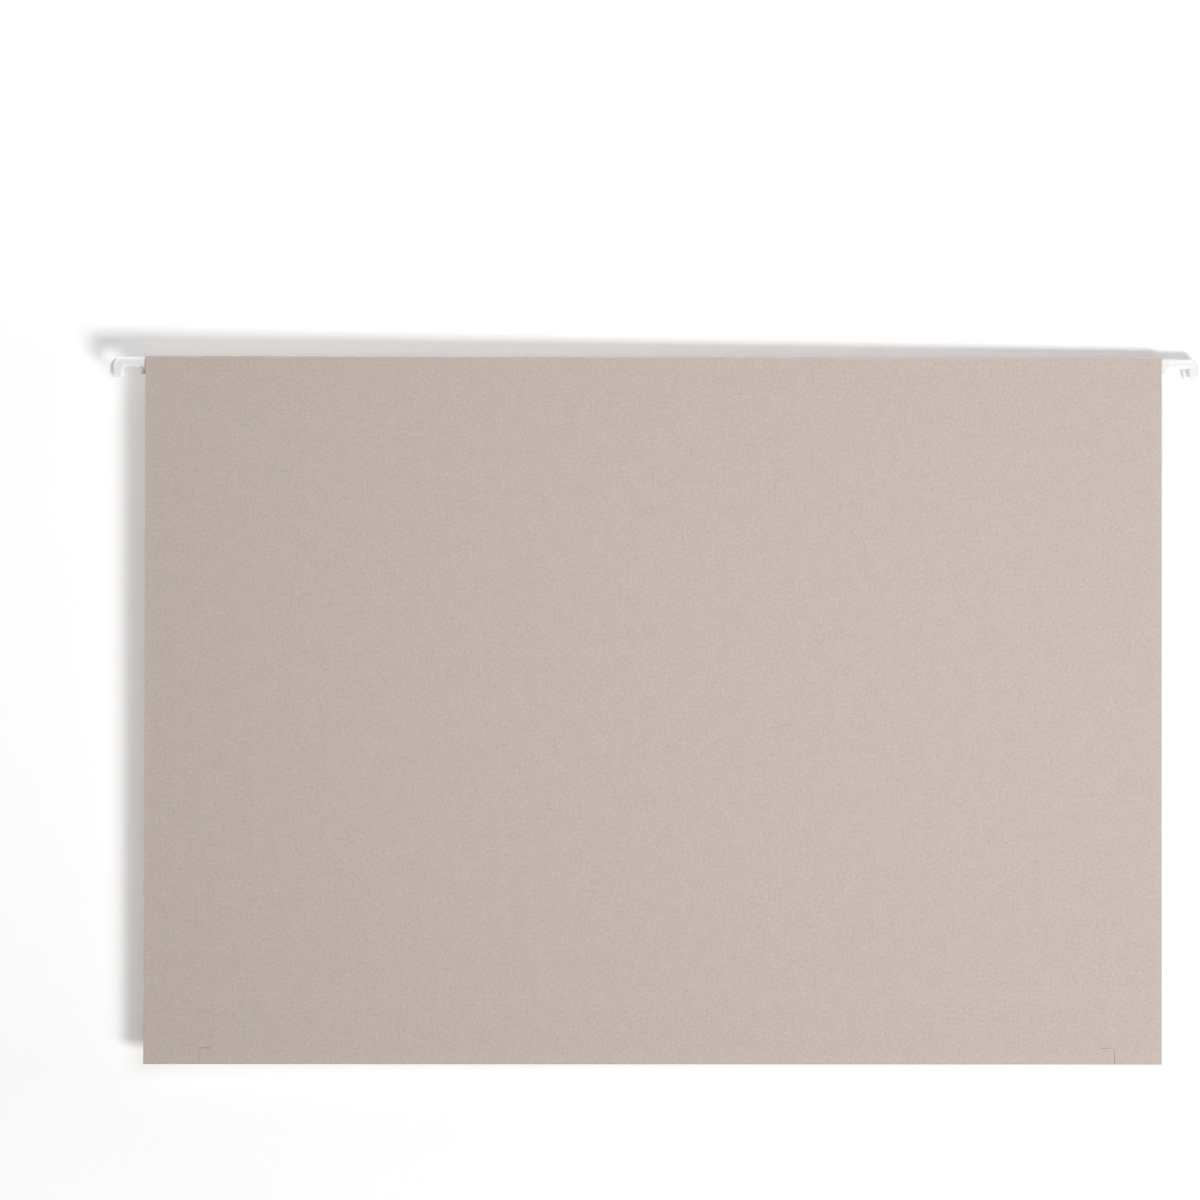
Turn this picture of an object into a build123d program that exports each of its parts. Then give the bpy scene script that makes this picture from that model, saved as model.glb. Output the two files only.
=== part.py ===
"""Legal-size box-bottom hanging file folder, lying shut.

Millimetres. X runs along the rods, the front of the folder faces -Y, and Z is up as the folder hangs.
The origin is midway between the four rail seats, at the level of the rails' top edges.
"""

import os
from math import atan2, cos, degrees, pi, sin

from build123d import *

# Folder sheet
folder_width = 374.65  # side edge to side edge, 14 3/4 in
folder_height = 260.35  # top fold to bottom fold with the folder shut, 10 1/4 in
box_depth = 50.8  # bottom from crease to crease when it is squared out, 2 in
stock = 0.28  # thickness of the paper
crease_width = 1.4  # scored band along each bottom crease
crease_bead = 0.14  # how far the scored band bulges into the folder
crease_groove = 0.06  # how deep the score is on the outside
fold_clearance = 0.06  # parting left between the stretches of the sheet at each line where it folds

# Hem that holds a rod
hem_height = 19.05  # top fold to the hem's lower edge, 3/4 in
lap_height = 7.0  # glued part of the hem
lap_glue = 0.1  # thickness of the glue line
hem_round = 0.6  # outside rounding at the two corners of the top fold
glue_inset = 1.0  # bare paper around the glue line
joggle_radius = 1.0  # bend where the hem closes in below the rod
hem_corner = 5.0  # trimmed corner at each end of the hem
hem_mouth = 0.3  # gap between the two hems at the top of the pocket
tab_slits = 12  # slits for index tabs along each hem
tab_slit_margin = 27.8  # side edge to the middle of the first slit
tab_slit_length = 12.0
tab_slit_height = 0.9

# Lock-tab cuts across the bottom fold
lock_inset = 18.95  # side edge to the upright cut, the mean of the two ends
lock_shift = 1.5  # both cuts lie this far to the right of even
lock_rise = 5.1  # bottom fold's axis to the level cut
lock_reach = 4.6  # level cut, towards the middle
cut_width = 0.3

# Stiffener board, one strip on each half of the bottom
board_thickness = 0.5
board_margin = 0.4  # board edge to the crease
board_end_clearance = 0.5  # board end to the lock tab
board_lift = 0.05  # board to the sheet it lies on
board_parting = 0.12  # each strip to the middle plane at the fold

# Rods with moulded tips
rod_overhang = 12.7  # each end of a rod beyond the side edge, 1/2 in
steel_thickness = 0.7
coat = 0.55  # plastic around the steel at a tip
bevel_width = 0.85  # bevel along a tip's edges, across its face
bevel_depth = 0.45  # and down its side
shank_height = 6.0
neck_height = 3.3  # rail seat to the top of the tip
seat_length = 5.3  # flat that lies on the rail
hook_width = 3.9  # at the seat
hook_drop = 3.9  # rail seat to the lowest point of the hook
hook_slant = 0.6  # how far the hook's inner side leans away from the rail
hook_foot = 0.9  # how far the hook's outer side draws in at the bottom
hook_foot_rise = 1.3
hook_round = 1.0  # rounding around the hook's lower end
seat_corner = 0.5  # inside corner where the rail seat meets the hook
crown_run = 1.8  # bevelled outer corner at the top
crown_fall = 2.2
crown_round = 1.0
sleeve_length = 8.0  # tip inside the hem
rod_clearance = 0.1  # each side of a tip inside the hem
rod_headroom = 0.15  # over a rod, below the top fold
rod_footroom = 0.35  # below a rod
rod_drift = 1.0  # each rod lies this far off centre, the two in opposite directions

# Stack of the shut folder, measured square to the leaning sheet from the bottom fold's axis
fold_inner = board_parting + board_thickness + board_lift
fold_outer = fold_inner + stock
tip_thickness = steel_thickness + 2 * coat
channel = tip_thickness + 2 * rod_clearance
flap_face = channel + stock - fold_inner
lap_face = lap_glue + stock - fold_inner

# Heights up the sheet from the bottom fold's axis
half_fold = pi / 4 * (fold_inner + fold_outer)  # length of half the bottom fold, along the middle of the paper
crease_low = box_depth / 2 - half_fold - crease_width / 2
crease_high = crease_low + crease_width
sheet_top = folder_height - fold_outer
panel_top = sheet_top - 2 * hem_round
rod_top = sheet_top - stock - rod_headroom
channel_foot = rod_top - shank_height - rod_footroom
hem_foot = sheet_top - hem_height
lap_top = hem_foot + lap_height

# The hems meet at the top and the sheet is thin at the fold, so each side leans out by this angle
lean = atan2(flap_face + hem_mouth / 2, channel_foot)
channel_middle = channel / 2 - fold_inner
fold_level = neck_height + rod_headroom + stock - sheet_top * cos(lean) - channel_middle * sin(lean)
rod_offset = (rod_top - shank_height / 2) * sin(lean) - channel_middle * cos(lean)

# Lengthways places
rod_end = folder_width / 2 + rod_overhang
hook_start = rod_end - hook_width
seat_start = hook_start - seat_length
notch_radius = shank_height - neck_height
notch_start = seat_start - notch_radius
tip_start = folder_width / 2 - sleeve_length
lock_cut = folder_width / 2 - lock_inset
board_length = 2 * (lock_cut - lock_shift - lock_reach - board_end_clearance)
tab_slit_pitch = (folder_width - 2 * tab_slit_margin) / (tab_slits - 1)


class FolderSide:
    """Sketch planes of one side: the sheet's face seen from outside, its section, and the upright rod."""

    def __init__(self, name, outward):
        inward = (0, -outward * cos(lean), sin(lean))
        fold_axis = (0, 0, fold_level)
        self.name = name
        self.end_names = {outward: "right", -outward: "left"}
        self.lock_middle = outward * lock_shift
        self.face = Plane(origin=fold_axis, x_dir=(outward, 0, 0), z_dir=inward)
        self.section = Plane(origin=fold_axis, x_dir=inward, z_dir=(-outward, 0, 0))
        self.rod = Plane(
            origin=(-outward * rod_drift, outward * rod_offset, 0),
            x_dir=(outward, 0, 0),
            z_dir=(0, -outward, 0),
        )


def save(piece, name):
    """Label a finished piece and write its file."""
    piece.label = name
    export_step(piece, f"parts/{name}.step")


def sheet_stretch(side, low, high):
    """Flat stretch of the sheet on one side between two heights."""
    with BuildPart() as stretch:
        with BuildSketch(side.face.offset(-fold_outer)):
            with Locations((0, (low + high) / 2)):
                Rectangle(folder_width, high - low)
        extrude(amount=stock)
    return stretch.part


def bottom_half(side):
    """Half of the bottom, with the lock-tab cuts running up from the fold."""
    with BuildPart() as half:
        add(sheet_stretch(side, fold_clearance / 2, crease_low - fold_clearance / 2))
        with BuildSketch(side.face.offset(-fold_outer)):
            for end in (-1, 1):
                with Locations((side.lock_middle + end * lock_cut, lock_rise / 2)):
                    Rectangle(cut_width, lock_rise + cut_width)
                with Locations((side.lock_middle + end * (lock_cut - lock_reach / 2), lock_rise)):
                    Rectangle(lock_reach, cut_width)
        extrude(amount=stock, mode=Mode.SUBTRACT)
    return half.part


def crease(side):
    """Scored band: a shallow groove outside and a bead inside, along one edge of the bottom."""
    low = crease_low + fold_clearance / 2
    middle = (low + crease_high) / 2
    with BuildPart() as band:
        with BuildSketch(side.section):
            with BuildLine():
                foot = Line((-fold_outer, low), (-fold_inner, low))
                head = Line((-fold_inner, crease_high), (-fold_outer, crease_high))
                ThreePointArc(foot @ 1, (crease_bead - fold_inner, middle), head @ 0)
                ThreePointArc(head @ 1, (crease_groove - fold_outer, middle), foot @ 0)
            make_face()
        extrude(amount=folder_width / 2, both=True)
    return band.part


def hem(side):
    """Sheet turned over the rod and down to its glued lap, with slits for index tabs."""
    with BuildPart() as turned:
        with BuildSketch(side.section):
            with BuildLine():
                FilletPolyline(
                    (-fold_outer, panel_top),
                    (-fold_outer, sheet_top),
                    (flap_face, sheet_top),
                    (flap_face, channel_foot),
                    (lap_face, lap_top),
                    (lap_face, hem_foot),
                    radius=(hem_round, hem_round, joggle_radius, joggle_radius),
                )
                offset(amount=stock, side=Side.RIGHT)
            make_face()
        extrude(amount=folder_width / 2, both=True)
        with BuildSketch(side.face):
            with Locations((0, (channel_foot + lap_top) / 2)):
                with GridLocations(tab_slit_pitch, 0, tab_slits, 1):
                    Rectangle(tab_slit_length, tab_slit_height)
            for end in (-1, 1):
                with BuildLine():
                    Polyline(
                        (end * folder_width / 2, hem_foot),
                        (end * folder_width / 2, hem_foot + hem_corner),
                        (end * (folder_width / 2 - hem_corner), hem_foot),
                        close=True,
                    )
                make_face()
        extrude(amount=hem_height, both=True, mode=Mode.SUBTRACT)
    return turned.part


def hem_glue(side):
    """Glue line between the hem's lap and the panel."""
    low = hem_foot + glue_inset
    high = lap_top - glue_inset
    with BuildPart() as line:
        with BuildSketch(side.face.offset(-fold_inner)):
            with Locations((0, (low + high) / 2)):
                Rectangle(folder_width - 2 * (hem_corner + glue_inset), high - low)
        extrude(amount=lap_glue)
    return line.part


def board(side):
    """Stiffener strip that lies on one half of the bottom."""
    low = fold_clearance + board_parting
    high = crease_low - board_margin
    with BuildPart() as strip:
        with BuildSketch(side.face.offset(-fold_inner + board_lift)):
            with Locations((0, (low + high) / 2)):
                Rectangle(board_length, high - low)
        extrude(amount=board_thickness)
    return strip.part


def hook_outline(end):
    """Outline of a moulded tip: sleeve, quarter-round notch, rail seat and hook."""
    with BuildSketch() as outline:
        with BuildLine():
            hook = FilletPolyline(
                (end * seat_start, 0),
                (end * hook_start, 0),
                (end * (hook_start + hook_slant), -hook_drop),
                (end * (rod_end - hook_foot), -hook_drop),
                (end * rod_end, hook_foot_rise - hook_drop),
                (end * rod_end, neck_height - crown_fall),
                (end * (rod_end - crown_run), neck_height),
                (end * tip_start, neck_height),
                radius=(seat_corner, hook_round, hook_round, hook_round, crown_round, crown_round),
            )
            Polyline(
                hook @ 1,
                (end * tip_start, -notch_radius),
                (end * notch_start, -notch_radius),
            )
            RadiusArc((end * notch_start, -notch_radius), hook @ 0, end * notch_radius)
        make_face()
    return outline.sketch


def rod(side):
    """Steel strip whose ends are punched into hooks."""
    with BuildPart() as strip:
        with BuildSketch(side.rod):
            with Locations((0, neck_height - shank_height / 2)):
                Rectangle(2 * (tip_start + 2 * coat), shank_height - 2 * coat)
            for end in (-1, 1):
                add(offset(hook_outline(end), amount=-coat, mode=Mode.PRIVATE))
        extrude(amount=steel_thickness / 2, both=True)
    return strip.part


def tip(side, end, steel):
    """Plastic moulded around one end of a rod."""
    with BuildPart() as moulding:
        with BuildSketch(side.rod):
            add(hook_outline(end))
        extrude(amount=tip_thickness / 2, both=True)
        for which in (0, -1):
            broadside = moulding.faces().filter_by(Axis.Y).sort_by(Axis.Y)[which]
            chamfer(broadside.edges(), bevel_width, bevel_depth, reference=broadside)
        add(steel, mode=Mode.SUBTRACT)
    return moulding.part


os.makedirs("parts", exist_ok=True)

for side in (FolderSide("back", 1), FolderSide("front", -1)):
    save(sheet_stretch(side, crease_high, panel_top), f"{side.name}_panel")
    save(hem(side), f"{side.name}_hem")
    save(hem_glue(side), f"{side.name}_hem_glue")
    save(crease(side), f"{side.name}_crease")
    save(bottom_half(side), f"{side.name}_bottom")
    save(board(side), f"{side.name}_board")
    steel = rod(side)
    save(steel, f"{side.name}_rod")
    for end, end_name in side.end_names.items():
        save(tip(side, end, steel), f"{side.name}_{end_name}_tip")

# The fold that joins the two halves of the bottom, cut through at the lock tabs
fold_start = -degrees(lean)
fold_sweep = -(180 - 2 * degrees(lean))
with BuildPart() as centre_fold:
    with BuildSketch(Plane.YZ):
        with BuildLine():
            outside = CenterArc((0, fold_level), fold_outer, fold_start, fold_sweep)
            inside = CenterArc((0, fold_level), fold_inner, fold_start, fold_sweep)
            Line(outside @ 0, inside @ 0)
            Line(outside @ 1, inside @ 1)
        make_face()
    extrude(amount=folder_width / 2, both=True)
    with Locations((lock_shift - lock_cut, 0, fold_level), (lock_shift + lock_cut, 0, fold_level)):
        Box(cut_width, 4 * fold_outer, 4 * fold_outer, mode=Mode.SUBTRACT)
save(centre_fold.part, "centre_fold")
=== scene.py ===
"""Looks of a box-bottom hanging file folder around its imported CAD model. Metres, in the model's own frame."""

import math
from collections import Counter

import bmesh
import bpy
import numpy as np
from mathutils import Matrix, Vector
from mathutils.geometry import delaunay_2d_cdt


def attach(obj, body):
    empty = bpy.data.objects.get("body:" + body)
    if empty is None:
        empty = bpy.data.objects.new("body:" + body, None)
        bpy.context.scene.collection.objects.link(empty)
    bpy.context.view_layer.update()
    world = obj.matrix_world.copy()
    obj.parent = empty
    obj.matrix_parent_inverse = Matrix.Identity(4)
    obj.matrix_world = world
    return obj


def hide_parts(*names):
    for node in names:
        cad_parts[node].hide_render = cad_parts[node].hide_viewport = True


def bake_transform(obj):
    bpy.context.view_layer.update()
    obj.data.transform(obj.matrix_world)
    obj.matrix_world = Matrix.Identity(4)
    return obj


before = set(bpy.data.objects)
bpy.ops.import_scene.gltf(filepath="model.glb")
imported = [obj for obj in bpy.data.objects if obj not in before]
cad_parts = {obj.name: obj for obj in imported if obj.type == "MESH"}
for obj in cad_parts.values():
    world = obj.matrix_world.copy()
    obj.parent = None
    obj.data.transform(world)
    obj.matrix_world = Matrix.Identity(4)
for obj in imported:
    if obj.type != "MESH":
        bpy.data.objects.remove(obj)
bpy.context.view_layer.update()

# Sizes of the folder, as in the CAD model
MM = 0.001
folder_width = 374.65 * MM
folder_height = 260.35 * MM
box_depth = 50.8 * MM
crease_width = 1.4 * MM
stock = 0.28 * MM
fold_inner = 0.67 * MM
fold_outer = fold_inner + stock
channel = 2.0 * MM
hem_height = 19.05 * MM
lap_height = 7.0 * MM
lap_glue = 0.1 * MM
hem_round = 0.6 * MM
joggle_radius = 1.0 * MM
hem_corner = 5.0 * MM
hem_mouth = 0.3 * MM
tab_slits = 12
tab_slit_margin = 27.8 * MM
tab_slit_length = 12.0 * MM
tab_slit_height = 0.9 * MM
lock_inset = 18.95 * MM
lock_shift = 1.5 * MM
lock_rise = 5.1 * MM
lock_reach = 4.6 * MM
shank_height = 6.0 * MM
neck_height = 3.3 * MM
rod_headroom = 0.15 * MM
rod_footroom = 0.35 * MM
rod_drift = 1.0 * MM
rod_overhang = 12.7 * MM
seat_length = 5.3 * MM
hook_width = 3.9 * MM
hook_drop = 3.9 * MM
hook_slant = 0.6 * MM
hook_foot = 0.9 * MM
hook_foot_rise = 1.3 * MM
hook_round = 1.0 * MM
seat_corner = 0.5 * MM
crown_run = 1.8 * MM
crown_fall = 2.2 * MM
crown_round = 1.0 * MM
sleeve_length = 8.0 * MM

# Places that follow from them
half_width = folder_width / 2
fold_arc = math.pi * (fold_inner + fold_outer) / 2
crease_low = box_depth / 2 - fold_arc / 2 - crease_width / 2
sheet_top = folder_height - fold_outer
panel_top = sheet_top - 2 * hem_round
crest_level = sheet_top - hem_round / 3
rod_top = sheet_top - stock - rod_headroom
channel_foot = rod_top - shank_height - rod_footroom
channel_middle = channel / 2 - fold_inner
hem_foot = sheet_top - hem_height
lap_top = hem_foot + lap_height
slit_middle = (channel_foot + lap_top) / 2
slit_low = slit_middle - tab_slit_height / 2
slit_high = slit_middle + tab_slit_height / 2
flap_face = channel + stock - fold_inner
lap_face = lap_glue + stock - fold_inner
lean = math.atan2(flap_face + hem_mouth / 2, channel_foot)
fold_level = neck_height + rod_headroom + stock - sheet_top * math.cos(lean) - channel_middle * math.sin(lean)
rod_offset = (rod_top - shank_height / 2) * math.sin(lean) - channel_middle * math.cos(lean)
lock_cut = half_width - lock_inset
rod_end = half_width + rod_overhang

# Details that only the looks have
knife_gap = 0.2 * MM  # lock-tab cuts, on the outside of the sheet
knife_shut = 0.08  # share of that gap on the inside of the sheet
knife_taper = 0.6  # share by which an upright cut narrows up to its corner
knife_corner = 0.5  # share of the gap at a level cut's corner
knife_nick = 0.55 * MM  # bridge left at the corner of each lock tab
score_depth = 0.025 * MM  # dent along the crease, on the outside
score_bead = 0.09 * MM  # bulge along the crease, on the inside
crease_bend = 0.5 * MM  # two points on the sheet are placed this far to each side of the crease's lower line
strip_reach = 1.15 * fold_outer  # two points at the fold's axis height are placed this far to each side of the middle
fold_parting = 0.01 * MM  # each sheet's bottom edge to the fold's axis
wear_reach = 1.2 * MM  # depth of the rubbed look along edges and folds
crease_ease = 1.0 * MM  # distance added along the crease, so that it is rubbed less
wave_height = 0.10 * MM
wave_fade = 40 * MM  # the paper's waves grow over this distance from the crease and from their top
wave_top = panel_top - 22 * MM

# Slow waves of the paper: share, scale across the sheet, scale up it and phase
PAPER_WAVES = (
    (0.5, 47 * MM, 90 * MM, 0.4),
    (0.35, 29 * MM, -61 * MM, 2.1),
    (0.25, 140 * MM, 37 * MM, 1.2),
)

# Steps of the meshes
row_step = 4.0 * MM
column_step = 4.0 * MM
strip_step = 8.0 * MM
score_step = 0.1 * MM
score_lead = 1.0 * MM  # the score's close rows start this far below it
crest_step = 0.35 * MM
flap_step = 1.2 * MM
drop_step = 0.6 * MM
lap_step = 1.0 * MM
outline_step = 0.45 * MM
least_step = 0.05 * MM
line_clearance = 0.8 * MM  # no column lies nearer than this to a cut or a slit
corner_steps = 7
joggle_steps = 4
fold_steps = 24
fillet_steps = 7
notch_steps = 12
SAME = 1e-7  # places nearer than this are one place
SHEET_EDGE = 35  # edges sharper than this many degrees break the smooth shading
TIP_EDGE = 50


def place(outward, x, inward, up):
    """Point of one side of the folder, from its distance into the folder and its height up the sheet."""
    y = outward * (up * math.sin(lean) - inward * math.cos(lean))
    z = fold_level + up * math.cos(lean) + inward * math.sin(lean)
    return x, y, z


def spread(low, high, step):
    """Even values from low to high, about a step apart."""
    count = max(1, round(abs(high - low) / step))
    return [low + (high - low) * i / count for i in range(count + 1)]


def merged(values):
    """Sorted values with near doubles dropped."""
    kept = []
    for value in sorted(values):
        if not kept or value - kept[-1] > least_step:
            kept.append(value)
    return kept


def inside(values, low, high):
    """Whether all the values lie between two limits."""
    return all(low - SAME < value < high + SAME for value in values)


def sheet_waves(x, up):
    """How far the paper's slow waves lift it, fading out towards the folds."""
    low = (up - crease_low - crease_width) / wave_fade
    high = (wave_top - up) / wave_fade
    fade = min(max(min(low, high), 0.0), 1.0)
    fade = fade * fade * (3 - 2 * fade)
    waves = 0.0
    for share, across, along, phase in PAPER_WAVES:
        waves += share * math.sin(x / across + up / along + phase)
    return wave_height * fade * waves


def score(up):
    """Share of the score's depth at a height: 1 in its middle and 0 outside it."""
    t = (up - crease_low) / crease_width
    return math.sin(math.pi * t) ** 2 if 0 < t < 1 else 0.0


class Row:
    """One line of the sheet across the folder: its outer and inner face, and its length along the sheet."""

    def __init__(self, outer, inner, flat=False, half=half_width, lip=0):
        self.outer = outer
        self.inner = inner
        self.flat = flat
        self.half = half
        self.lip = lip
        self.along = 0.0


def flat_rows():
    """Rows of the bottom half and the panel, from the bottom fold up to the hem."""
    score_start, crease_high = crease_low - score_lead, crease_low + crease_width
    heights = spread(fold_parting, score_start, row_step)
    heights += [lock_rise - knife_nick, lock_rise - knife_gap / 2, lock_rise + knife_gap / 2]
    heights += spread(score_start, crease_high, score_step)
    heights += spread(crease_high, panel_top, row_step)
    rows = []
    for up in merged(heights):
        dent = score(up)
        lip = 0
        if abs(abs(up - lock_rise) - knife_gap / 2) < SAME:
            lip = 1 if up > lock_rise else -1
        outer = (score_depth * dent - fold_outer, up)
        inner = (score_bead * dent - fold_inner, up)
        rows.append(Row(outer, inner, flat=True, lip=lip))
    return rows


def arc_rows(centre, outer_radius, inner_radius, start, end, steps):
    """Rows round a bend, without its first line."""
    rows = []
    for i in range(1, steps + 1):
        angle = start + (end - start) * i / steps
        c, s = math.cos(angle), math.sin(angle)
        outer = (centre[0] + outer_radius * c, centre[1] + outer_radius * s)
        inner = (centre[0] + inner_radius * c, centre[1] + inner_radius * s)
        rows.append(Row(outer, inner))
    return rows


def hem_rows():
    """Rows over the rod, down the flap, through the joggle and down the glued lap."""
    shoulder = sheet_top - hem_round
    near, far = hem_round - fold_outer, flap_face - hem_round
    inner_round = hem_round - stock
    rows = [Row((-fold_outer, shoulder), (-fold_inner, shoulder))]
    rows += arc_rows((near, shoulder), hem_round, inner_round, math.pi, math.pi / 2, corner_steps)
    for across in spread(near, far, crest_step)[1:]:
        rows.append(Row((across, sheet_top), (across, sheet_top - stock)))
    rows += arc_rows((far, shoulder), hem_round, inner_round, math.pi / 2, 0, corner_steps)

    tilt = math.atan2(flap_face - lap_face, channel_foot - lap_top)
    tangent = joggle_radius * math.tan(tilt / 2)
    bend_top, bend_foot = channel_foot + tangent, lap_top - tangent
    for up in spread(shoulder, bend_top, flap_step)[1:]:
        rows.append(Row((flap_face, up), (flap_face - stock, up)))
    centre = (flap_face - joggle_radius, bend_top)
    rows += arc_rows(centre, joggle_radius, joggle_radius - stock, 0, -tilt, joggle_steps)
    drops = spread(channel_foot - tangent * math.cos(tilt), slit_high, drop_step)[1:]
    drops += spread(slit_low, lap_top + tangent * math.cos(tilt), drop_step)
    for up in drops:
        across = flap_face - (channel_foot - up) * math.tan(tilt)
        rows.append(Row((across, up), (across - stock * math.cos(tilt), up + stock * math.sin(tilt))))
    centre = (lap_face + joggle_radius, bend_foot)
    rows += arc_rows(centre, joggle_radius, joggle_radius + stock, math.pi - tilt, math.pi, joggle_steps)

    lap = spread(bend_foot, hem_foot + hem_corner, lap_step)[1:]
    lap += spread(hem_foot + hem_corner, hem_foot, lap_step)[1:]
    for up in lap:
        trim = max(0.0, hem_corner - (up - hem_foot))
        rows.append(Row((lap_face, up), (lap_face - stock, up), half=half_width - trim))
    return rows


def with_lines(columns, lines):
    """Columns and lines in order, without the columns that lie close to a line."""
    clear = [x for x in columns if all(abs(x - line) > line_clearance for line in lines)]
    return sorted(clear + lines)


def sheet_columns():
    """Places across the folder, with lines at the slits and at the lock-tab cuts, and the slits' ends."""
    pitch = (folder_width - 2 * tab_slit_margin) / (tab_slits - 1)
    middles = [-half_width + tab_slit_margin + i * pitch for i in range(tab_slits)]
    slits = [(middle - tab_slit_length / 2, middle + tab_slit_length / 2) for middle in middles]
    lines = [edge for slit in slits for edge in slit]
    for end in (-1, 1):
        for reach in (-knife_gap / 2, knife_gap / 2, -knife_nick, -lock_reach):
            lines.append(lock_shift + end * (lock_cut + reach))
    return with_lines(spread(-half_width, half_width, column_step), lines), slits


def lip_place(x, share):
    """Place across the folder of a lip of an upright lock cut, with the cut's width scaled by a share."""
    side = abs(x - lock_shift) - lock_cut
    return lock_shift + math.copysign(lock_cut + side * share, x - lock_shift)


def cut_span(end, near, far):
    """Stretch across the folder beside an upright lock cut, from two distances outward of the cut."""
    return sorted(lock_shift + end * (lock_cut + reach) for reach in (near, far))


def knife_edge(x, up, row):
    """Outer and inner x, up of a point, moved so that the lock cuts close towards their inner ends."""
    outer, inner = [x, up], [x, up]
    side = abs(x - lock_shift) - lock_cut
    if abs(abs(side) - knife_gap / 2) < SAME:
        open_share = 1.0 - knife_taper * min(max(up / lock_rise, 0.0), 1.0)
        outer[0] = lip_place(x, open_share)
        inner[0] = lip_place(x, knife_shut)
    if row.lip:
        reach = min(max(-side / lock_reach, 0.0), 1.0)
        lip_height = row.lip * knife_gap / 2
        outer[1] = lock_rise + lip_height * (knife_corner + (1 - knife_corner) * reach)
        inner[1] = lock_rise + lip_height * knife_shut
    return outer, inner


def in_lock_cut(sides, heights):
    """Whether a cell of the bottom half, from its two sides and two heights, lies in a lock cut."""
    for end in (-1, 1):
        if inside(sides, *cut_span(end, -knife_gap / 2, knife_gap / 2)):
            if max(heights) < lock_rise - knife_nick + SAME:
                return True
        if inside(sides, *cut_span(end, -lock_reach, -knife_nick)):
            if inside(heights, lock_rise - knife_gap / 2, lock_rise + knife_gap / 2):
                return True
    return False


def finished(name, mesh, angle):
    """Object with smooth shading that breaks at edges sharper than an angle."""
    mesh.shade_smooth()
    mesh.set_sharp_from_angle(angle=math.radians(angle))
    made = bpy.data.objects.new(name, mesh)
    bpy.context.scene.collection.objects.link(made)
    return made


def thick_mesh(name, outer, inner, keep, on_paper, wear):
    """Closed mesh of a thin sheet from its two faces, with rims round its edge and each cell left out.

    Each point of the grid also has a place on the flat paper and a share of wear.
    """
    rows, columns = len(outer), len(outer[0])
    count = rows * columns
    points = [point for row in outer + inner for point in row]
    faces, rims = [], []

    def held(r, c):
        return 0 <= r < rows - 1 and 0 <= c < columns - 1 and keep(r, c)

    for r in range(rows - 1):
        for c in range(columns - 1):
            if not keep(r, c):
                continue
            a = r * columns + c
            b, d, e = a + 1, a + columns + 1, a + columns
            faces.append((a, b, d, e))
            faces.append((e + count, d + count, b + count, a + count))
            sides = ((r - 1, c, b, a), (r, c + 1, d, b), (r + 1, c, e, d), (r, c - 1, a, e))
            for near_row, near_column, p, q in sides:
                if not held(near_row, near_column):
                    rims.append((p, q, q + count, p + count))

    mesh = bpy.data.meshes.new(name)
    mesh.from_pydata(points, [], faces + rims)
    places = np.array(on_paper + on_paper, np.float32).ravel()
    mesh.attributes.new("paper", "FLOAT_VECTOR", "POINT").data.foreach_set("vector", places)
    shares = np.array(wear + wear, np.float32)
    mesh.attributes.new("wear", "FLOAT", "POINT").data.foreach_set("value", shares)
    slots = np.array([0] * len(faces) + [1] * len(rims), np.int32)
    mesh.polygons.foreach_set("material_index", slots)
    shape = bmesh.new()
    shape.from_mesh(mesh)
    loose = [v for v in shape.verts if not v.link_faces]
    bmesh.ops.delete(shape, geom=loose, context="VERTS")
    bmesh.ops.recalc_face_normals(shape, faces=shape.faces)
    shape.to_mesh(mesh)
    shape.free()
    return finished(name, mesh, SHEET_EDGE)


def folder_sheet(name, outward):
    """One side of the sheet in one piece: bottom half, crease, panel and hem."""
    rows = flat_rows() + hem_rows()
    for before, row in zip(rows, rows[1:]):
        row.along = before.along + math.dist(before.outer, row.outer)
    columns, slits = sheet_columns()
    crest = next(row.along for row in rows if row.outer[1] > crest_level)
    outer, inner, on_paper, wear = [], [], [], []
    for row in rows:
        ratio = row.half / half_width
        along = row.along if outward < 0 else -fold_arc - row.along
        crease_near = abs(row.along - crease_low - crease_width / 2) + crease_ease
        fold_near = min(abs(row.along - crest), crease_near, row.along)
        outer.append([])
        inner.append([])
        for x in columns:
            lift = 0.0
            outer_at, inner_at = (x, row.outer[1]), (x, row.inner[1])
            if row.flat:
                lift = -sheet_waves(x, row.outer[1])
                outer_at, inner_at = knife_edge(x, row.outer[1], row)
            outer[-1].append(place(outward, outer_at[0] * ratio, row.outer[0] + lift, outer_at[1]))
            inner[-1].append(place(outward, inner_at[0] * ratio, row.inner[0] + lift, inner_at[1]))
            on_paper.append((x, along, 0.0))
            edge_near = min(half_width - abs(x), fold_near)
            wear.append(math.exp(-edge_near / wear_reach))

    def keep(r, c):
        sides = columns[c:c + 2]
        heights = [row.outer[1] for row in rows[r:r + 2]]
        if rows[r].flat != rows[r + 1].flat:
            return True
        if rows[r].flat:
            return not in_lock_cut(sides, heights)
        return not (inside(heights, slit_low, slit_high) and any(inside(sides, *slit) for slit in slits))

    return thick_mesh(name, outer, inner, keep, on_paper, wear)


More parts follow.
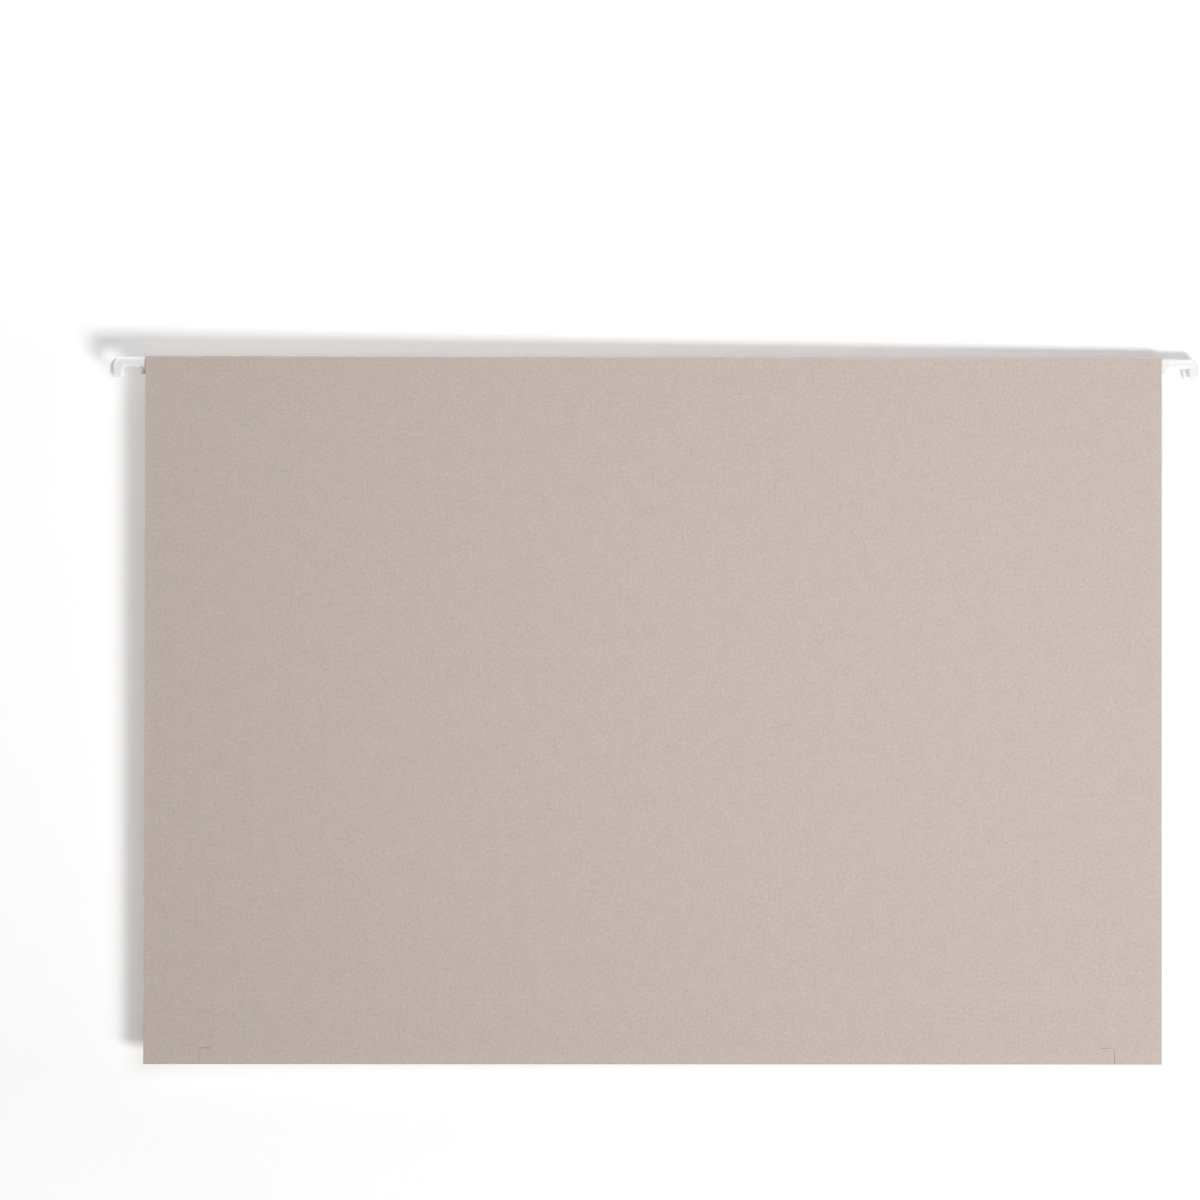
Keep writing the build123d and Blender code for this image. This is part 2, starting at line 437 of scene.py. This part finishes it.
def fold_strip(name):
    """The bend that joins the two halves of the bottom, cut at the lock tabs."""
    cuts = [cut_span(end, -knife_gap / 2, knife_gap / 2) for end in (-1, 1)]
    lips = [x for cut in cuts for x in cut]
    columns = with_lines(spread(-half_width, half_width, strip_step), lips)
    shut = [lip_place(x, knife_shut) if x in lips else x for x in columns]
    outer, inner, on_paper, wear = [], [], [], []
    for i in range(fold_steps + 1):
        angle = -lean - (math.pi - 2 * lean) * i / fold_steps
        along = -fold_arc * (1 - i / fold_steps)
        c, s = math.cos(angle), math.sin(angle)
        outer.append([(x, fold_outer * c, fold_level + fold_outer * s) for x in columns])
        inner.append([(x, fold_inner * c, fold_level + fold_inner * s) for x in shut])
        for x in columns:
            on_paper.append((x, along, 0.0))
            wear.append(1.0)

    def keep(r, c):
        return not any(inside(columns[c:c + 2], *cut) for cut in cuts)

    return thick_mesh(name, outer, inner, keep, on_paper, wear)


def filleted(points, radii):
    """Open line through the points, with each inner corner rounded."""
    line = [points[0]]
    for before, corner, after, radius in zip(points, points[1:], points[2:], radii):
        a = (Vector(before) - Vector(corner)).normalized()
        b = (Vector(after) - Vector(corner)).normalized()
        half = a.angle(b) / 2
        middle = Vector(corner) + (a + b).normalized() * (radius / math.sin(half))
        start = Vector(corner) + a * (radius / math.tan(half)) - middle
        end = Vector(corner) + b * (radius / math.tan(half)) - middle
        for i in range(fillet_steps + 1):
            t = i / fillet_steps
            arm = (start * (1 - t) + end * t).normalized() * radius
            line.append(tuple(middle + arm))
    line.append(points[-1])
    return line


def hook_outline():
    """Outline of a right-hand tip, going round it once: seat, hook, crown, sleeve and notch."""
    hook_start = rod_end - hook_width
    seat_start = hook_start - seat_length
    notch = shank_height - neck_height
    tip_start = half_width - sleeve_length
    corners = [
        (seat_start, 0),
        (hook_start, 0),
        (hook_start + hook_slant, -hook_drop),
        (rod_end - hook_foot, -hook_drop),
        (rod_end, hook_foot_rise - hook_drop),
        (rod_end, neck_height - crown_fall),
        (rod_end - crown_run, neck_height),
        (tip_start, neck_height),
    ]
    line = filleted(corners, (seat_corner, hook_round, hook_round, hook_round, crown_round, crown_round))
    line += [(tip_start, -notch), (seat_start - notch, -notch)]
    for i in range(1, notch_steps):
        angle = math.pi - math.pi / 2 * i / notch_steps
        line.append((seat_start + notch * math.cos(angle), -notch + notch * math.sin(angle)))
    return line


def divided(line, step):
    """Closed line with points added so that none are further apart than a step."""
    points = []
    for a, b in zip(line, line[1:] + line[:1]):
        count = max(1, math.ceil(math.dist(a, b) / step))
        for i in range(count):
            points.append((a[0] + (b[0] - a[0]) * i / count, a[1] + (b[1] - a[1]) * i / count))
    return np.array(points)


def outline_depth(points, line):
    """Distance of each point from the closed line."""
    run = np.roll(line, -1, 0) - line
    share = ((points[:, None] - line[None]) * run[None]).sum(2) / (run * run).sum(1)[None]
    nearest = line[None] + np.clip(share, 0, 1)[..., None] * run[None]
    return np.linalg.norm(points[:, None] - nearest, axis=2).min(1)


def inset(line, depth):
    """The closed line moved inwards, without the points that would cross over."""
    ahead = np.roll(line, -1, 0) - line
    ahead /= np.linalg.norm(ahead, axis=1)[:, None]
    behind = np.roll(ahead, 1, 0)
    left_a = np.stack([-ahead[:, 1], ahead[:, 0]], 1)
    left_b = np.stack([-behind[:, 1], behind[:, 0]], 1)
    moved = line + depth * (left_a + left_b) / (1 + (left_a * left_b).sum(1))[:, None]
    return moved[outline_depth(moved, line) > depth * CROSSED]


# Depth in from a tip's outline and height off its middle plane, in millimetres: a rounded edge, a wide bevel
# and a slightly sunk face
TIP_RINGS = (
    (0.0, 0.40), (0.04, 0.47), (0.12, 0.53), (0.22, 0.585), (0.40, 0.67),
    (0.58, 0.755), (0.70, 0.81), (0.78, 0.838), (0.84, 0.84), (0.90, 0.81),
    (0.95, 0.79), (1.02, 0.785), (1.10, 0.785),
)
CROSSED = 0.9999  # a moved point nearer to the outline than this share of its depth has crossed over
RING_GAP = 1.0  # a longer stretch between two points of a ring, in millimetres, is a gap
FILL_INSIDE = 1  # kind of triangulation that fills the outline
JOIN_NEARER = 1e-5  # the triangulation joins points nearer than this, in millimetres


def tip_face():
    """Points x, z, height and triangles of a right-hand tip's face, in millimetres."""
    line = divided(hook_outline(), outline_step) / MM
    after = np.roll(line, -1, 0)
    if (line[:, 0] * after[:, 1] - after[:, 0] * line[:, 1]).sum() < 0:
        line = line[::-1]
    points, edges = [], []
    for depth, _ in TIP_RINGS:
        ring = inset(line, depth) if depth else line
        first, count = len(points), len(ring)
        points += [Vector(point) for point in ring]
        for i in range(count):
            a, b = first + i, first + (i + 1) % count
            if (points[a] - points[b]).length < RING_GAP:
                edges.append((a, b))
    flat, _, triangles, *_ = delaunay_2d_cdt(points, edges, [], FILL_INSIDE, JOIN_NEARER)
    flat = np.array([tuple(point) for point in flat])
    depths, heights = zip(*TIP_RINGS)
    return np.column_stack([flat, np.interp(outline_depth(flat, line), depths, heights)]), triangles


def tip(name, outward, end, face):
    """Moulded tip of one end of a rod: a face on each side, and a rim between the faces' outer edges."""
    points, triangles = face
    shape = bmesh.new()
    sides = []
    for way in (-1, 1):
        side = []
        for x, z, height in points:
            at = Vector((end * x, way * height, z)) * MM
            side.append(shape.verts.new(at + Vector((-outward * rod_drift, outward * rod_offset, 0))))
        for triangle in triangles:
            shape.faces.new([side[i] for i in triangle])
        sides.append(side)
    uses = Counter(tuple(sorted(pair)) for t in triangles for pair in zip(t, t[1:] + t[:1]))
    for a, b in (pair for pair, count in uses.items() if count == 1):
        shape.faces.new((sides[0][a], sides[0][b], sides[1][b], sides[1][a]))
    bmesh.ops.recalc_face_normals(shape, faces=shape.faces)
    mesh = bpy.data.meshes.new(name)
    shape.to_mesh(mesh)
    shape.free()
    return finished(name, mesh, TIP_EDGE)


NOISE_SPAN = (0.3, 0.7)  # a noise runs from about the first value to the second


class Nodes:
    """Short hand for building a node material."""

    def __init__(self, name):
        self.material = bpy.data.materials.new(name)
        self.material.use_nodes = True
        self.tree = self.material.node_tree
        self.shader = self.tree.nodes["Principled BSDF"]

    def add(self, kind, **values):
        node = self.tree.nodes.new(kind)
        for key, value in values.items():
            setattr(node, key, value)
        return node

    def link(self, a, b):
        self.tree.links.new(a, b)

    def attribute(self, name, output):
        return self.add("ShaderNodeAttribute", attribute_name=name).outputs[output]

    def place(self):
        return self.add("ShaderNodeTexCoord").outputs["Object"]

    def noise(self, vector, scale, detail=2.0, roughness=0.55, turn=0.0):
        if turn:
            turned = self.add("ShaderNodeMapping")
            turned.inputs["Rotation"].default_value = (0, 0, turn)
            self.link(vector, turned.inputs["Vector"])
            vector = turned.outputs["Vector"]
        mapping = self.add("ShaderNodeMapping")
        mapping.inputs["Scale"].default_value = scale
        self.link(vector, mapping.inputs["Vector"])
        node = self.add("ShaderNodeTexNoise")
        node.inputs["Scale"].default_value = 1.0
        node.inputs["Detail"].default_value = detail
        node.inputs["Roughness"].default_value = roughness
        self.link(mapping.outputs["Vector"], node.inputs["Vector"])
        return node.outputs["Fac"]

    def math(self, operation, a, b):
        node = self.add("ShaderNodeMath", operation=operation)
        for socket, value in zip(node.inputs, (a, b)):
            if isinstance(value, (int, float)):
                socket.default_value = value
            else:
                self.link(value, socket)
        return node.outputs[0]

    def sum(self, *parts):
        """Sum of outputs, each times its share."""
        shares = [self.math("MULTIPLY", output, share) for output, share in parts]
        total = shares[0]
        for share in shares[1:]:
            total = self.math("ADD", total, share)
        return total

    def band(self, value, low, high, to_low=0.0, to_high=1.0):
        node = self.add("ShaderNodeMapRange")
        numbers = {"From Min": low, "From Max": high, "To Min": to_low, "To Max": to_high}
        for key, number in numbers.items():
            node.inputs[key].default_value = number
        self.link(value, node.inputs["Value"])
        return node.outputs["Result"]

    def mix(self, factor, a, b):
        node = self.add("ShaderNodeMix", data_type="RGBA")
        self.link(factor, node.inputs["Factor"])
        sockets = [s for s in node.inputs if s.type == "RGBA"]
        for socket, value in zip(sockets, (a, b)):
            if isinstance(value, tuple):
                socket.default_value = (*value, 1.0)
            else:
                self.link(value, socket)
        return next(s for s in node.outputs if s.type == "RGBA")

    def tones(self, noise, dark, pale):
        """Colour between two tones."""
        return self.mix(self.band(noise, *NOISE_SPAN), dark, pale)

    def bump(self, height, distance, strength):
        node = self.add("ShaderNodeBump")
        node.inputs["Distance"].default_value = distance
        node.inputs["Strength"].default_value = strength
        self.link(height, node.inputs["Height"])
        self.link(node.outputs["Normal"], self.shader.inputs["Normal"])

    def colour(self, output):
        self.link(output, self.shader.inputs["Base Color"])

    def rough(self, noise, low, high):
        self.link(self.band(noise, *NOISE_SPAN, low, high), self.shader.inputs["Roughness"])

    def fixed(self, **values):
        """Constant values of the shader, named as its sockets with underscores for spaces."""
        for key, value in values.items():
            self.shader.inputs[key.replace("_", " ")].default_value = value


# Paper: its colour, and its patterns with their scales across and along the sheet, detail and roughness
PAPER = (0.565, 0.481, 0.434)
FIBRE = ((2300, 1700, 1), 3.0, 0.6)
FELT = ((1000, 900, 1), 1.0, 0.5)
CLOUD = ((210, 150, 1), 2.0, 0.5)
STRAND = ((6200, 640, 1), 1.0, 0.5)
FLECK = ((1500, 520, 1), 1.0, 0.4)
MARK = ((640, 900, 1), 1.0, 0.4)
STRAND_TURNS = (0.5, -0.85)

# Shares of the patterns in the paper's mottle and relief, and the stretch of the mottle that is shown
MOTTLE_SHARES = (0.54, 0.42, 0.15)
MOTTLE_SPAN = (0.375, 0.735)
RELIEF_SHARES = (1.0, 0.6)
RELIEF_STRENGTH = 0.5

# Marks on the paper: stretch of the pattern, strength at its two ends, and tone against the paper
PALE_STRAND = ((0.60, 0.72, 0.0, 0.6), 1.18)
DARK_STRAND = ((0.40, 0.28, 0.0, 0.6), 0.82)
PALE_FLECK = ((0.735, 0.80, 0.0, 0.30), 1.16)
DARK_MARK = ((0.80, 0.86, 0.0, 0.35), 0.72)
RUBBED = ((0.35, 0.7, 0.05, 0.35), 1.14)


def toned(colour, share):
    return tuple(c * share for c in colour)


def paper_material(name, tone, grain, relief):
    """Warm grey paper: a fine mottle, crossing strands, a few flecks and marks, and rubbed edges and folds."""
    n = Nodes(name)
    vector = n.attribute("paper", "Vector")
    wear = n.attribute("wear", "Fac")
    fibre, felt, cloud = (n.noise(vector, *pattern) for pattern in (FIBRE, FELT, CLOUD))
    strands = [n.noise(vector, *STRAND, turn) for turn in STRAND_TURNS]
    base = toned(PAPER, tone)
    mottle = n.band(n.sum(*zip((fibre, felt, cloud), MOTTLE_SHARES)), *MOTTLE_SPAN)
    colour = n.mix(mottle, toned(base, 1 - grain), toned(base, 1 + grain))
    marks = (
        (n.math("MAXIMUM", *strands), PALE_STRAND),
        (n.math("MINIMUM", *strands), DARK_STRAND),
        (n.noise(vector, *FLECK), PALE_FLECK),
        (n.noise(vector, *MARK), DARK_MARK),
    )
    for pattern, (span, mark_tone) in marks:
        colour = n.mix(n.band(pattern, *span), colour, toned(base, mark_tone))
    span, rubbed_tone = RUBBED
    rubbed = n.math("MULTIPLY", wear, n.band(fibre, *span))
    n.colour(n.mix(rubbed, colour, toned(base, rubbed_tone)))
    n.rough(fibre, 0.86, 0.96)
    n.bump(n.sum(*zip((fibre, cloud), RELIEF_SHARES)), relief, RELIEF_STRENGTH)
    n.fixed(Specular_IOR_Level=0.22)
    return n.material


def tip_material():
    """White moulded plastic with a fine spark-eroded grain and a few paler flow clouds."""
    n = Nodes("tip_plastic")
    vector = n.place()
    flow = n.noise(vector, (420, 420, 420))
    grain = n.noise(vector, (5200, 5200, 5200))
    n.colour(n.tones(flow, (0.83, 0.835, 0.828), (0.875, 0.877, 0.868)))
    n.rough(grain, 0.30, 0.42)
    n.bump(grain, 0.01 * MM, 0.35)
    n.fixed(
        Specular_IOR_Level=0.5,
        Subsurface_Weight=0.85,
        Subsurface_Radius=(1.0, 0.97, 0.9),
        Subsurface_Scale=2.5 * MM,
    )
    return n.material


def steel_material():
    """Bright rolled strip with fine lines along it."""
    n = Nodes("rod_steel")
    lines = n.noise(n.place(), (60, 4000, 4000), 3.0)
    n.colour(n.tones(lines, (0.50, 0.51, 0.52), (0.62, 0.63, 0.64)))
    n.rough(lines, 0.24, 0.40)
    n.bump(lines, 0.01 * MM, 0.4)
    n.fixed(Metallic=1.0)
    return n.material


def board_material():
    """Brown pressboard with mixed fibres and paler chips."""
    n = Nodes("pressboard")
    vector = n.place()
    fibre = n.noise(vector, (700, 1900, 1900), 4.0, 0.65)
    cloud = n.noise(vector, (90, 160, 160))
    chip = n.noise(vector, (1400, 2600, 2600), 1.0)
    mottle = n.band(n.sum((fibre, 0.6), (cloud, 0.4)), 0.35, 0.65)
    colour = n.mix(mottle, (0.29, 0.215, 0.15), (0.43, 0.33, 0.235))
    n.colour(n.mix(n.band(chip, 0.68, 0.76, 0.0, 0.5), colour, (0.56, 0.46, 0.35)))
    n.rough(fibre, 0.74, 0.9)
    n.bump(fibre, 0.05 * MM, 0.5)
    n.fixed(Specular_IOR_Level=0.3)
    return n.material


def glue_material():
    """Dry, slightly yellow adhesive with a rippled skin."""
    n = Nodes("hem_adhesive")
    ripple = n.noise(n.place(), (150, 700, 700))
    n.colour(n.tones(ripple, (0.68, 0.63, 0.52), (0.78, 0.74, 0.64)))
    n.rough(ripple, 0.35, 0.55)
    n.bump(ripple, 0.04 * MM, 0.5)
    return n.material


paper = paper_material("folder_paper", tone=1.0, grain=0.13, relief=0.03 * MM)
paper_edge = paper_material("folder_paper_edge", tone=1.06, grain=0.12, relief=0.05 * MM)

for outward, side in ((1, "back"), (-1, "front")):
    sheet = folder_sheet(f"{side}_sheet", outward)
    sheet.data.materials.append(paper)
    sheet.data.materials.append(paper_edge)
    start = place(outward, 0, -fold_inner, crease_low + crease_bend)
    end = place(outward, 0, -fold_inner, crease_low - crease_bend)
    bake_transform(sheet)
    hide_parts(f"{side}_panel", f"{side}_hem", f"{side}_crease", f"{side}_bottom")

strip = fold_strip("fold_strip")
strip.data.materials.append(paper)
strip.data.materials.append(paper_edge)
start, end = (0, strip_reach, fold_level), (0, -strip_reach, fold_level)
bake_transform(strip)
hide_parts("centre_fold")

plastic = tip_material()
hook_face = tip_face()
for outward, side in ((1, "back"), (-1, "front")):
    for end, end_name in ((-1, "left"), (1, "right")):
        piece = tip(f"{side}_{end_name}_hook", outward, end, hook_face)
        piece.data.materials.append(plastic)
        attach(piece, f"{side}_rod")
        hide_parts(f"{side}_{end_name}_tip")

node_materials = {"rod": steel_material(), "board": board_material(), "hem_glue": glue_material()}
for side in ("back", "front"):
    for kind, material in node_materials.items():
        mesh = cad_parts[f"{side}_{kind}"].data
        mesh.materials.clear()
        mesh.materials.append(material)

# Stage: a wall close behind the folder, nearer at its right edge, and a floor below it, both clear from behind
WALL_LEFT = 11.6 * MM
WALL_RIGHT = 3.2 * MM
WALL_REACH = 2.0
WALL_TOP = 4.0
WALL_WHITE = 0.97
FLOOR_Z = -0.33
FLOOR_REACH = 4.0
FLOOR_WHITE = 0.86

# Glow of the wall: at the folder's middle, less for each metre to the right, more for each metre outside
WALL_GLOW = 0.108
WALL_GLOW_FALL = 0.36
WALL_GLOW_RISE = 0.8

# Glow of the floor: two distances from the origin, and the glow at each
FLOOR_GLOW = (0.45, 1.3, 0.16, 1.0)


def wall_glow(n, where):
    """More glow to the left and outside the folder's place, where less of the lamps' light falls."""
    axes = n.add("ShaderNodeSeparateXYZ")
    n.link(where, axes.inputs[0])
    x, z = axes.outputs["X"], axes.outputs["Z"]
    level = n.math("SUBTRACT", WALL_GLOW, n.math("MULTIPLY", x, WALL_GLOW_FALL))
    beyond = n.math("ABSOLUTE", n.math("ADD", z, folder_height / 2), 0.0)
    beyond = n.math("MAXIMUM", n.math("SUBTRACT", beyond, folder_height / 2), 0.0)
    aside = n.math("SUBTRACT", n.math("ABSOLUTE", x, 0.0), folder_width)
    outside = n.math("ADD", beyond, n.math("MAXIMUM", aside, 0.0))
    level = n.math("ADD", level, n.math("MULTIPLY", outside, WALL_GLOW_RISE))
    return n.math("MAXIMUM", n.math("MINIMUM", level, 1.0), 0.0)


def floor_glow(n, where):
    """More glow far from the folder, so that the floor ends in white."""
    away = n.add("ShaderNodeVectorMath", operation="LENGTH")
    n.link(where, away.inputs[0])
    return n.band(away.outputs["Value"], *FLOOR_GLOW)


def stage_material(name, white, glow):
    """Matt white that keeps shadows, lifted where it is looked at, and clear from behind."""
    n = Nodes(name)
    n.tree.nodes.remove(n.shader)
    matt = n.add("ShaderNodeBsdfDiffuse")
    matt.inputs["Color"].default_value = (white, white, white, 1)
    light = n.add("ShaderNodeEmission")
    light.inputs["Color"].default_value = (1, 1, 1, 1)
    path = n.add("ShaderNodeLightPath")
    seen = n.math("MAXIMUM", path.outputs["Is Camera Ray"], path.outputs["Is Glossy Ray"])
    seen = n.math("MAXIMUM", seen, path.outputs["Is Transmission Ray"])
    n.link(n.math("MULTIPLY", seen, glow(n, n.place())), light.inputs["Strength"])
    lit = n.add("ShaderNodeAddShader")
    n.link(matt.outputs[0], lit.inputs[0])
    n.link(light.outputs[0], lit.inputs[1])
    clear = n.add("ShaderNodeBsdfTransparent")
    mixed = n.add("ShaderNodeMixShader")
    n.link(n.add("ShaderNodeNewGeometry").outputs["Backfacing"], mixed.inputs[0])
    n.link(lit.outputs[0], mixed.inputs[1])
    n.link(clear.outputs[0], mixed.inputs[2])
    n.link(mixed.outputs[0], n.tree.nodes["Material Output"].inputs["Surface"])
    return n.material


def stage_plane(name, corners, material):
    """Plane of the stage that casts no shadow and lends no light."""
    mesh = bpy.data.meshes.new(name)
    mesh.from_pydata(corners, [], [(0, 1, 2, 3)])
    mesh.materials.append(material)
    made = bpy.data.objects.new(name, mesh)
    bpy.context.scene.collection.objects.link(made)
    made.visible_shadow = False
    made.visible_diffuse = False


wall_slope = (WALL_RIGHT - WALL_LEFT) / folder_width
wall_middle = (WALL_RIGHT + WALL_LEFT) / 2
left_end, right_end = ((x, wall_middle + wall_slope * x) for x in (-WALL_REACH, WALL_REACH))
stage_plane(
    "backdrop",
    [(*left_end, FLOOR_Z), (*right_end, FLOOR_Z), (*right_end, WALL_TOP), (*left_end, WALL_TOP)],
    stage_material("backdrop_white", WALL_WHITE, wall_glow),
)
floor_corners = ((-1, -1), (1, -1), (1, 1), (-1, 1))
stage_plane(
    "floor",
    [(x * FLOOR_REACH, y * FLOOR_REACH, FLOOR_Z) for x, y in floor_corners],
    stage_material("floor_white", FLOOR_WHITE, floor_glow),
)

# Lamps: place, point that they face, side of the square and power. The key stands low at the right and is turned
# up, so that its light falls off to the left and hardly with height. The rim lamp lights the left hooks' edges.
FOLDER_MIDDLE = (0.0, 0.0, -0.126)
LEFT_HOOKS = (-0.2, 0.0, 0.0)
LAMPS = {
    "key": ((0.835, -1.359, -0.96), (0.7, 0.0, 6.0), 0.67, 40.0),
    "front_fill": ((0.06, -0.60, -0.06), FOLDER_MIDDLE, 0.35, 1.03),
    "back_key": ((-0.9, 1.1, 0.5), FOLDER_MIDDLE, 0.8, 15.0),
    "back_fill": ((0.7, 1.3, 0.0), FOLDER_MIDDLE, 0.8, 8.0),
    "top": ((0.0, 0.15, 1.4), FOLDER_MIDDLE, 0.9, 20.0),
    "left_rim": ((-0.75, -0.015, 0.02), LEFT_HOOKS, 0.08, 1.8),
}
SKY_LIGHT = 0.13  # strength of the white sky as a light
SKY_SHOWN = 1.0  # and where it is looked at

# Camera, fitted to the folder's corners in the photograph: place, turns in degrees and lens to sensor width
CAMERA_PLACE = (-0.0403, -1.5, -0.1166)
CAMERA_TURNS = (("Z", -0.782), ("Y", -0.099), ("X", 1.176), ("X", 90.0))
LENS_RATIO = 3.3913
SENSOR_WIDTH = 36.0


def lamp(name, place_at, aim, size, power):
    """Square soft lamp that the camera doesn't see."""
    data = bpy.data.lights.new(name, "AREA")
    data.shape = "SQUARE"
    data.size = size
    data.energy = power
    made = bpy.data.objects.new(name, data)
    made.location = place_at
    made.rotation_mode = "QUATERNION"
    made.rotation_quaternion = (Vector(aim) - Vector(place_at)).to_track_quat("-Z", "Y")
    made.visible_camera = False
    bpy.context.scene.collection.objects.link(made)


def white_sky():
    """World that is white where it is looked at and lights the folder only a little."""
    world = bpy.data.worlds.new("studio")
    world.use_nodes = True
    nodes, links = world.node_tree.nodes, world.node_tree.links
    sky = nodes["Background"]
    sky.inputs["Color"].default_value = (1.0, 1.0, 1.0, 1.0)
    ray = nodes.new("ShaderNodeLightPath")
    strength = nodes.new("ShaderNodeMapRange")
    strength.inputs["To Min"].default_value = SKY_LIGHT
    strength.inputs["To Max"].default_value = SKY_SHOWN
    shown = nodes.new("ShaderNodeMath")
    shown.operation = "MAXIMUM"
    links.new(ray.outputs["Is Camera Ray"], shown.inputs[0])
    links.new(ray.outputs["Is Transmission Ray"], shown.inputs[1])
    links.new(shown.outputs[0], strength.inputs["Value"])
    links.new(strength.outputs["Result"], sky.inputs["Strength"])
    return world


for name, values in LAMPS.items():
    lamp(name, *values)
scene = bpy.context.scene
scene.world = white_sky()

camera = bpy.data.cameras.new("camera")
camera.sensor_width = SENSOR_WIDTH
camera.lens = LENS_RATIO * SENSOR_WIDTH
viewer = bpy.data.objects.new("camera", camera)
viewer.location = CAMERA_PLACE
turn = Matrix.Identity(3)
for axis, degrees in CAMERA_TURNS:
    turn = turn @ Matrix.Rotation(math.radians(degrees), 3, axis)
viewer.rotation_mode = "QUATERNION"
viewer.rotation_quaternion = turn.to_quaternion()
scene.collection.objects.link(viewer)
scene.camera = viewer

scene.view_settings.view_transform = "Standard"
